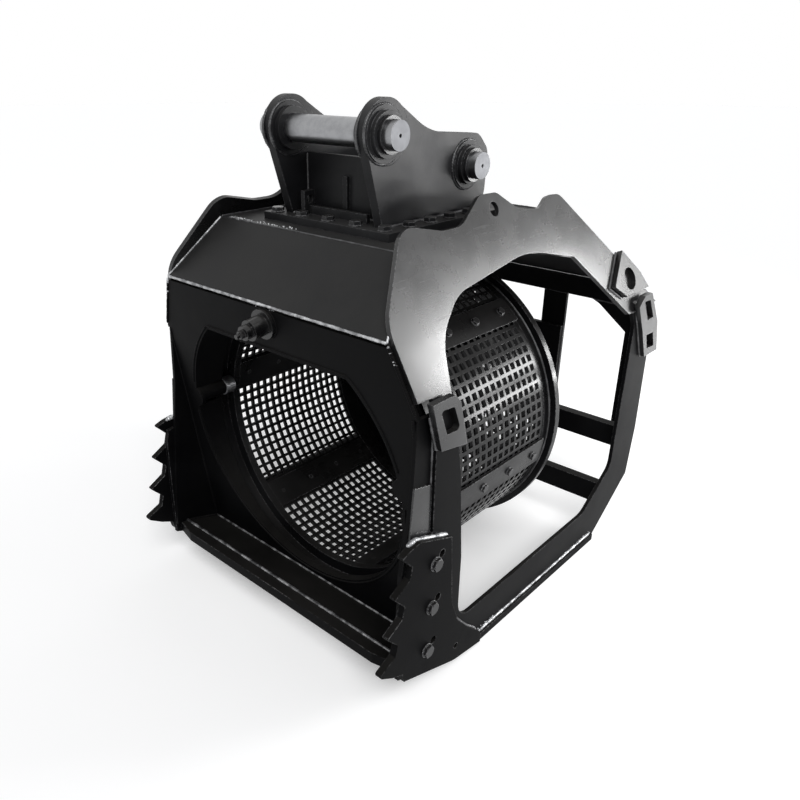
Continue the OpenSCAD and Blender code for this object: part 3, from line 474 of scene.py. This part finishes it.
def spatter(path, spread, sizes, count, seed):
    """Weld spatter along a path: small round grains of metal stuck to the plate, in millimetres.

    Formula: grain k sits at a random share of the path's length, moved off it by a normal
    random step of the given spread along each axis of spread, with a random radius between
    the two sizes. Each grain is a ball of 3 rings of 6 points and two poles.
    """
    rng = np.random.default_rng(seed)
    along = np.concatenate([[0], np.cumsum(np.linalg.norm(np.diff(path, axis=0), axis=1))])
    s = rng.uniform(0, along[-1], count)
    mid = np.stack([np.interp(s, along, path[:, k]) for k in range(3)], 1)
    mid = mid + rng.normal(0, 1, (count, 1)) * np.array(spread, float)
    size = rng.uniform(*sizes, count)[:, None, None]
    tilt = np.radians([-45, 0, 45])[:, None]
    turn = np.radians(np.arange(6) * 60.0)[None, :]
    ball = np.stack(np.broadcast_arrays(np.cos(tilt) * np.cos(turn), np.cos(tilt) * np.sin(turn),
                                        np.sin(tilt)), -1).reshape(-1, 3)
    ball = np.concatenate([ball, [[0, 0, -1], [0, 0, 1]]])
    v = (mid[:, None, :] + size * ball[None]).reshape(-1, 3)
    quads = [[r * 6 + k, r * 6 + (k + 1) % 6, r * 6 + 6 + (k + 1) % 6, r * 6 + 6 + k]
             for r in (0, 1) for k in range(6)]
    fans = [[18, (k + 1) % 6, k] for k in range(6)] + [[19, 12 + k, 12 + (k + 1) % 6]
                                                       for k in range(6)]
    shift = np.arange(count)[:, None, None] * len(ball)
    faces = (np.array(quads)[None] + shift).reshape(-1, 4)
    caps = (np.array(fans)[None] + shift).reshape(-1, 3).tolist()
    return v * MM, faces, caps


def bolt(place, way, shank, length, flats, head, washer):
    """One bolt, in millimetres: shank, washer, and a hexagon head whose corners are turned off.

    Formula: the rows are circles of 24 angles q, except the head's side, a hexagon of radius
    flats / 2 over the cosine of q's distance from the middle of its flat. The side ends where
    a 30 degree cone round the axis cuts it, at head - (radius - 0.47 flats) tan 30, so each
    flat ends in an arc. The rows are then turned so that their axis points along way.
    """
    q = np.radians(np.arange(24) * 15.0)
    hexagon = 0.5 * flats / np.cos((q + math.pi / 6) % (math.pi / 3) - math.pi / 6)
    cone = washer + head - np.maximum(hexagon - 0.47 * flats, 0) * math.tan(math.pi / 6)
    disc, edge, one = 0.64 * flats, 0.8, np.ones(24)
    rows = [(shank * one, -length * one), (shank * one, 0 * one), (disc * one, 0 * one),
            (disc * one, (washer - edge) * one), ((disc - edge) * one, washer * one),
            (hexagon, washer * one), (hexagon, cone),
            (0.47 * flats * one, (washer + head) * one)]
    r, h = np.array([a for a, b in rows]), np.array([b for a, b in rows])
    way = np.array(way, float) / np.linalg.norm(way)
    side = np.cross(way, np.eye(3)[int(np.argmin(np.abs(way)))])
    side /= np.linalg.norm(side)
    top = np.cross(way, side)
    v = (np.array(place, float) + (r * np.cos(q))[..., None] * side
         + (r * np.sin(q))[..., None] * top + h[..., None] * way).reshape(-1, 3)
    i, j = np.meshgrid(np.arange(len(rows) - 1), np.arange(24), indexing="ij")
    i, j = i.ravel(), j.ravel()
    j2 = (j + 1) % 24
    faces = np.stack([i * 24 + j, i * 24 + j2, (i + 1) * 24 + j2, (i + 1) * 24 + j], 1)
    return v * MM, faces, [list(range(24))[::-1], list(range(len(v) - 24, len(v)))]


# Bolts with washers, in the places of the plain hexagons of the construction
cutter_bolts = [bolt((side * CUTTER_FACE, y, z), (side, 0, 0), 12, 36, 36, 11, 3)
                for side in (1, -1) for y, z in ((-578, 472), (-588, 324), (-600, 172))]
made = solid_piece("cutter_bolt_heads", cutter_bolts, bolt_finish, "frame", smooth=False)
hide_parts("cutter_bolts")
first, last = FLANGE_FRONT + BOLT_INSET, FLANGE_REAR - BOLT_INSET
spots = [(x, y) for x in (-224, -112, 0, 112, 224) for y in (first, last)]
spots += [(side * 234, first + k * (last - first) / 5) for k in (1, 2, 3, 4) for side in (1, -1)]
made = solid_piece("flange_bolt_heads", [bolt((x, y, FLANGE_Z), (0, 0, 1), 12, 24, 34, 12, 3)
                                         for x, y in spots], bolt_finish, "frame", smooth=False)
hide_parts("flange_bolts")
strip_bolts = []
for k in range(6):
    t = math.radians(50 + 60 * k)
    out = np.array([math.cos(t), 0.0, math.sin(t)])
    for j in range(4):
        foot = out * STRIP_R + np.array([0, STRIP_LAST_Y - (3 - j) * STRIP_PITCH, DRUM_Z])
        strip_bolts.append(bolt(foot, out, 8, 28, 24, 8, 2))
made = solid_piece("strip_bolt_heads", strip_bolts, bolt_finish, "drum", smooth=False)
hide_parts("strip_bolts")

# Hood and roof: corner with the bulkhead, then both walls, the knee and the rear slope
foot = inner_half(HOOD_Z)
eave = inner_half(ROOF_Z)
end_z = ROOF_Z - (SLOPE_END - KNEE_Y) * math.tan(SLOPE)
beads("welds_hood_edge", [
    ([line((-foot, MOUTH_Y, HOOD_Z), (foot, MOUTH_Y, HOOD_Z))], 4.2, 8.0),
    (both([line((foot, MOUTH_Y, HOOD_Z), (eave, FOLD_Y, ROOF_Z))]), 4.2, 8.0),
    (both([line((inner_half(HOOD_Z - 6), bulkhead_y(HOOD_Z - 6), HOOD_Z - 6),
                (inner_half(1062), bulkhead_y(1062), 1062))]), 4.2, 8.0),
], finish=weld_painted_glint)
beads("welds_roof", [
    (both([line((eave, FOLD_Y, ROOF_Z), (eave, KNEE_Y, ROOF_Z))]), 5.0, 8.0),
    (both([line((eave, KNEE_Y, ROOF_Z), (inner_half(end_z), SLOPE_END, end_z))]), 5.0, 8.0),
    ([line((-eave, KNEE_Y, ROOF_Z), (eave, KNEE_Y, ROOF_Z))], 3.5, 8.0),
    ([line((-eave, FOLD_Y, ROOF_Z), (eave, FOLD_Y, ROOF_Z))], 2.5, 8.0),
])

# Spatter that the welder left on the roof's fold, the hood's edge and the skid strips, in the
# near-white bead finish whose colour is a painted glint
solid_piece("weld_spatter", [
    spatter(line((-eave + 30, FOLD_Y + 12, ROOF_Z), (-60, FOLD_Y + 12, ROOF_Z)),
            (0, 7, 0), (1.6, 3.4), 90, 11),
    spatter(line((-52, MOUTH_Y + 2, HOOD_Z - 5), (52, MOUTH_Y + 2, HOOD_Z - 5)),
            (0, 0, 3), (1.4, 2.8), 36, 12),
    spatter(line((WALL_HALF, MOUTH_Y + 372, 34), (WALL_HALF, MOUTH_Y + 470, 34)),
            (0, 0, 5), (1.8, 3.4), 40, 13),
    spatter(line((WALL_HALF, POST_Y - 500, 34), (WALL_HALF, POST_Y - 292, 34)),
            (0, 0, 4), (1.6, 2.8), 40, 14),
], weld_painted_glint, "frame")

# Throat: bulkhead against liners and walls, lip, mouth ring and axle caps
lip_foot = bulkhead_y(108.5)
chord = math.degrees(math.asin((CHORD_Z - DRUM_Z) / MOUTH_R))
mouth = [ring((0, 0, DRUM_Z), MOUTH_R, "Y", a, b)
         for a, b in ((14, chord), (180 - chord, 166), (180, 360))]
flat = MOUTH_R * math.cos(math.radians(chord))
mouth.append(line((-flat, 0, CHORD_Z), (flat, 0, CHORD_Z)))
cap = ring((0, 0, ROLLER_Z), 47.0, "Y")
cap[:, 2] = ROLLER_Z + (cap[:, 2] - ROLLER_Z) * math.cos(BULK)
for path in mouth + [cap]:
    path[:, 1] = bulkhead_y(path[:, 2])
beads("welds_throat", [
    (both([line((LINER, bulkhead_y(116), 116), (LINER, bulkhead_y(925), 925)),
           line((inner_half(940), bulkhead_y(940), 940),
                (inner_half(1115), bulkhead_y(1115), 1115)),
           line((LINER, LIP_Y, LIP_Z), (LINER, lip_foot, 108.5))]), 4.5, 8.0),
    (mouth, 4.0, 8.0),
    ([cap], 3.5, 7.0),
], finish=shaded_throat_enamel)
beads("welds_lip", [
    ([line((-LINER, lip_foot, 108.5), (LINER, lip_foot, 108.5))], 5.5, 9.0),
    ([line((-LIP_END, LIP_Y, LIP_Z - 1), (LIP_END, LIP_Y, LIP_Z - 1))], 5.5, 9.0),
    ([line((-LIP_END, LIP_Y, LIP_Z - 38), (LIP_END, LIP_Y, LIP_Z - 38))], 5.0, 9.0),
], finish=weld_rubbed_and_glint)

# Side cutters, pillars, pads and skid strips, on both sides
F, R, E = MOUTH_Y, POST_Y, EYE_Y
cutter_top = at_x(WALL_HALF + 3, arcs([(F + 165, 526, 0), (F + 20, 580, 12), (F - 16, 576, 0)]))
cutter_rear = at_x(WALL_HALF + 3, arcs([(F + 165, 526, 0), (F + 186, 280, 60),
                   (F + 222, 192, 60), (F + 286, 120, 60), (F + 350, 64, 20), (F + 364, 30, 0)]))
beads("welds_cutters", [
    (both([cutter_rear]), 6.5, 10.0),
], finish=weld_rubbed_and_glint)
beads("welds_cutter_tops", [(both([cutter_top]), 7.0, 9.0)], finish=weld_painted_glint)
beads("welds_skids", [
    (both([line((WALL_HALF, F + 372, 28), (WALL_HALF, R - 292, 28))]), 5.5, 9.0),
], finish=weld_painted_glint)
beads("welds_sides", [
    (both([at_x(WALL_HALF, arcs([(F + 62, 930, 0), (F + 96, 826, 0), (F + 212, 806, 0),
                                 (F + 174, 934, 0)]))]), 4.5, 8.0),
    (both([at_x(WALL_HALF, arcs([(R - 186, 932, 0), (R - 145, 855, 0), (R - 86, 735, 0),
                                 (R - 6, 735, 0)]))]), 4.5, 8.0),
    (both([on_wall(0, arcs([(E + 619, 64, 0), (E + 551, 114, 0), (E + 658, 226, 0)]))]),
     4.5, 8.0),
    (both([line((WALL_HALF - 1, F + 96, BEND), (WALL_HALF - 1, F + 168, BEND)),
           line((WALL_HALF - 1, R - 222, BEND), (WALL_HALF - 1, R - 84, BEND))]), 3.5, 7.0),
    (both([at_x(550, arcs([(F + 98, 900, 0), (F + 99, 840, 0), (F + 101, 562, 0)]))]),
     4.0, 8.0),
])

# Hanger: feet of the ears, web and boss rings
bosses = [ring((x, y, z), r, "X") for (y, z), r in ((FRONT_PIN, 77.0), (REAR_PIN, 73.0))
          for x in (EAR_OUT, EAR_IN)]
beads("welds_hanger", [
    (both(bosses), 4.5, 8.0),
    (both([line((x, -384, FLANGE_Z), (x, 92, FLANGE_Z)) for x in (EAR_IN, EAR_OUT)]), 6.0, 9.0),
    ([line((-EAR_IN, y, FLANGE_Z), (EAR_IN, y, FLANGE_Z)) for y in (-316, -298)], 5.0, 9.0),
    (both([line((EAR_IN, y, FLANGE_Z), (EAR_IN, y, 1499)) for y in (-316, -298)]), 4.5, 8.0),
])

# Rear frame: beams, gussets, posts and motor plate
top_z = end_z - 18.5
rear = POST_FACE
beads("welds_rear", [
    (both([line((inner_half(940), y, 940), (inner_half(top_z), y, top_z))
           for y in (630, 650)]), 4.5, 8.0),
    (both([line((rear, y, 474), (rear, y, 902)) for y in (630, 646)]), 4.5, 8.0),
    (both([line((384, y, 938), (540, y, 938)) for y in (630, 646)]), 4.0, 8.0),
    (both([line((rear, 637, 364), (rear, 637, 446)), line((rear, 639, 448), (rear, 673, 448)),
           line((rear, 639, 362), (rear, 673, 362)), line((rear, 537, 148), (rear, 537, 230)),
           line((rear, 539, 232), (rear, 573, 232)), line((rear, 539, 146), (rear, 573, 146))]),
     4.5, 8.0),
    (both([line((x, 637, 450), (x, 637, 802)) for x in (170, 270)]), 4.5, 8.0),
    (both([line((172, y, z), (268, y, z)) for y in (638, 650) for z in (448, 938)]), 4.5, 8.0),
])

# Drum: ring welds that turn with it
beads("welds_drum", [
    ([ring((0, y, DRUM_Z), 496.5, "Y", steps=180) for y in (-425, 165, 190)], 4.5, 8.0),
    ([ring((0, 197, DRUM_Z), 160.5, "Y"), ring((0, 217, DRUM_Z), 110.5, "Y")], 5.0, 8.0),
], body="drum")


def lamp(name, place, aim, wide, high, power):
    """A soft box at place that looks at aim; its power is in watts."""
    light = bpy.data.lights.new(name, "AREA")
    light.shape = "RECTANGLE"
    light.size, light.size_y = wide, high
    light.energy = power
    made = bpy.data.objects.new(name, light)
    bpy.context.scene.collection.objects.link(made)
    look = np.array(place) - np.array(aim)
    look = look / np.linalg.norm(look)
    right = np.cross([0.0, 0.0, 1.0], look)
    right /= np.linalg.norm(right)
    up = np.cross(look, right)
    made.matrix_world = Matrix([(right[k], up[k], look[k], place[k]) for k in range(3)]
                               + [(0, 0, 0, 1)])
    made.visible_camera = False
    return made


# Plain soft studio light: two soft boxes behind at the right, and one broad main light
lamp("right_rear_soft_box", (2.95, 3.18, 1.62), (0.4, -0.2, 1.1), 1.5, 0.5, 86)
lamp("low_strip_light", (2.7, 3.3, 0.72), (0.45, -0.1, 0.72), 1.6, 0.22, 60)
main = bpy.data.lights.new("main_soft_light", "SUN")
main.energy, main.angle = 1.7, math.radians(34)
made = bpy.data.objects.new("main_soft_light", main)
made.rotation_euler = (math.radians(40), 0.0, math.radians(50))
bpy.context.scene.collection.objects.link(made)


def background(tree):
    """Camera, glossy and transmission rays as one number, 1 where a ray shows the background."""
    ways = add(tree, "ShaderNodeLightPath")
    first = add(tree, "ShaderNodeMath", {"operation": "MAXIMUM"},
                {0: ways.outputs["Is Camera Ray"], 1: ways.outputs["Is Glossy Ray"]})
    return add(tree, "ShaderNodeMath", {"operation": "MAXIMUM"},
               {0: first.outputs[0], 1: ways.outputs["Is Transmission Ray"]}).outputs[0]


world = bpy.data.worlds.new("studio_world")
bpy.context.scene.world = world
world.use_nodes = True
tree = world.node_tree
tree.nodes.clear()
seen = background(tree)
room = add(tree, "ShaderNodeBackground", {"Color": colour("#f4f5f7"), "Strength": 0.45})
white = add(tree, "ShaderNodeBackground", {"Color": (1, 1, 1, 1), "Strength": 1.0})
both_ways = add(tree, "ShaderNodeMixShader", {}, {0: seen, 1: room.outputs[0],
                2: white.outputs[0]})
add(tree, "ShaderNodeOutputWorld", {}, {"Surface": both_ways.outputs[0]})

# Floor: a wide pale disc whose paint is lit, so that it keeps the bucket's shadow
floor_finish, tree, place = start("pale_studio_floor")
pale = add(tree, "ShaderNodeBsdfDiffuse", {"Color": colour("#f0f0f0")})
lift = add(tree, "ShaderNodeEmission", {"Color": (1, 1, 1, 1)},
           {"Strength": add(tree, "ShaderNodeMath", {"operation": "MULTIPLY", 1: 0.28},
                            {0: background(tree)}).outputs[0]})
total = add(tree, "ShaderNodeAddShader", {}, {0: pale.outputs[0], 1: lift.outputs[0]})
finish_off(tree, total)
turn = np.linspace(0, 2 * math.pi, 96, endpoint=False)
disc = bpy.data.meshes.new("studio_floor")
disc.from_pydata(np.column_stack([40 * np.cos(turn), 40 * np.sin(turn),
                                  np.full(96, -0.0005)]).tolist(), [], [list(range(96))])
disc.materials.append(floor_finish)
floor = bpy.data.objects.new("studio_floor", disc)
bpy.context.scene.collection.objects.link(floor)

# Camera at the photograph's viewing angle
eye = bpy.data.cameras.new("photo_camera")
eye.lens, eye.sensor_width = 33.17, 36.0
eye.shift_x, eye.shift_y = 0.0512, 0.0070
eye.clip_end = 100.0
camera = bpy.data.objects.new("photo_camera", eye)
bpy.context.scene.collection.objects.link(camera)
camera.location = (1.5854, -1.9625, 1.7414)
camera.rotation_euler = (math.radians(90 - 24.734), 0.0, math.radians(43.053))
bpy.context.scene.camera = camera
bpy.context.scene.view_settings.view_transform = "Standard"
